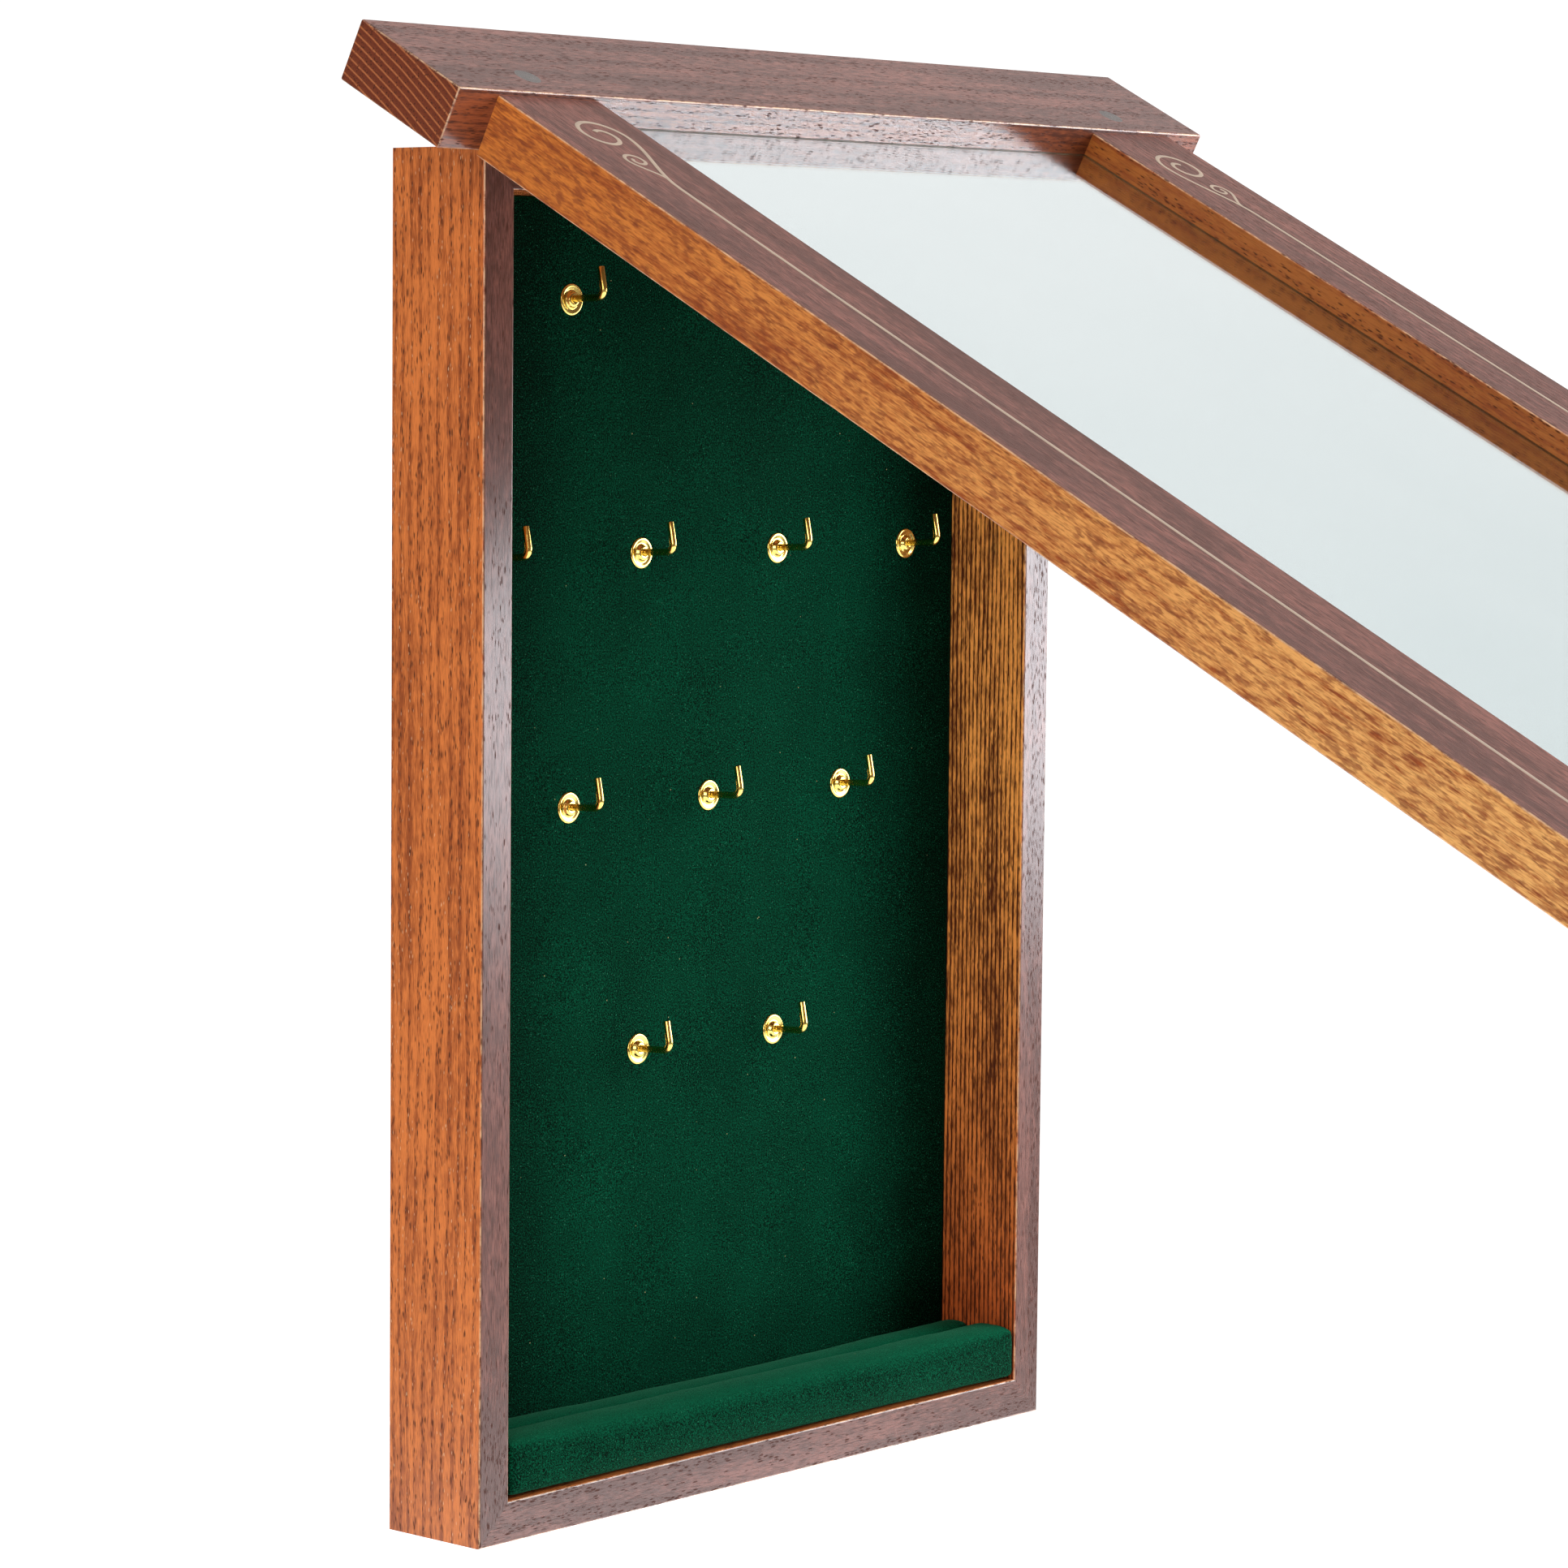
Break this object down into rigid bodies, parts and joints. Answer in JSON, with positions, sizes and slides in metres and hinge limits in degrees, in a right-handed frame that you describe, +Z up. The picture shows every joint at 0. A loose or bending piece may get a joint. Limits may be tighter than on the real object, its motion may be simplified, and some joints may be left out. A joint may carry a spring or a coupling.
{
  "type": "wall display cabinet",
  "caption": "Shallow wall cabinet in stained oak with a lift-up framed mirror door, velvet lined back, brass hooks and a padded ring ledge.",
  "frame": {"origin": "centre of the cabinet's back, on the wall plane", "axes": "+Y into the wall, +Z up, +X to the right of a person who faces the cabinet"},
  "size_m": [0.404, 0.5107, 0.5197],
  "materials": {
    "oak_cabinet": "stained open-grain oak, semi-gloss lacquer",
    "oak_door": "stained open-grain oak, semi-gloss lacquer",
    "oak_bead": "stained oak strip, satin",
    "oak_peg": "end grain, stained",
    "plywood": "plain birch plywood",
    "hardboard": "brown hardboard",
    "velvet": "deep green cotton velvet",
    "brass": "polished and lacquered",
    "brass_hinge": "drawn brass, satin",
    "steel": "zinc plated",
    "mirror": "silvered float glass with ground edges",
    "felt": "dense felt"
  },
  "bodies": {
    "cabinet": {"back_panel": "plywood", "bottom_panel": "oak_cabinet", "hanger_plate_left": "steel", "hanger_plate_right": "steel", "hanger_screws": "steel", "hinge_leaf_cabinet_left": "brass_hinge", "hinge_leaf_cabinet_right": "brass_hinge", "hinge_pin_left": "brass_hinge", "hinge_pin_right": "brass_hinge", "hinge_screws_cabinet": "brass_hinge", "hook_1_1": "brass", "hook_1_2": "brass", "hook_1_3": "brass", "hook_2_1": "brass", "hook_2_2": "brass", "hook_2_3": "brass", "hook_2_4": "brass", "hook_3_1": "brass", "hook_3_2": "brass", "hook_3_3": "brass", "hook_4_1": "brass", "hook_4_2": "brass", "hook_collars_1": "brass", "hook_collars_2": "brass", "hook_collars_3": "brass", "hook_collars_4": "brass", "ring_roll_back": "velvet", "ring_roll_front": "velvet", "side_panel_left": "oak_cabinet", "side_panel_right": "oak_cabinet", "top_panel": "oak_cabinet", "velvet_board": "velvet"},
    "door": {"bead_bottom": "oak_bead", "bead_brads": "steel", "bead_left": "oak_bead", "bead_right": "oak_bead", "bead_top": "oak_bead", "corner_pegs": "oak_peg", "door_bottom_rail": "oak_door", "door_pads": "felt", "door_stile_left": "oak_door", "door_stile_right": "oak_door", "door_top_rail": "oak_door", "hinge_leaf_door_left": "brass_hinge", "hinge_leaf_door_right": "brass_hinge", "hinge_screws_door": "brass_hinge", "mirror_backing": "hardboard", "mirror_glass": "mirror"}
  },
  "joints": [
    {"name": "door_lift", "type": "hinge", "parent": "cabinet", "child": "door", "pos_m": [0, -0.0427, 0.2448], "axis": [-1, 0, 0], "range_deg": [-62.6, 27.4]}
  ]
}
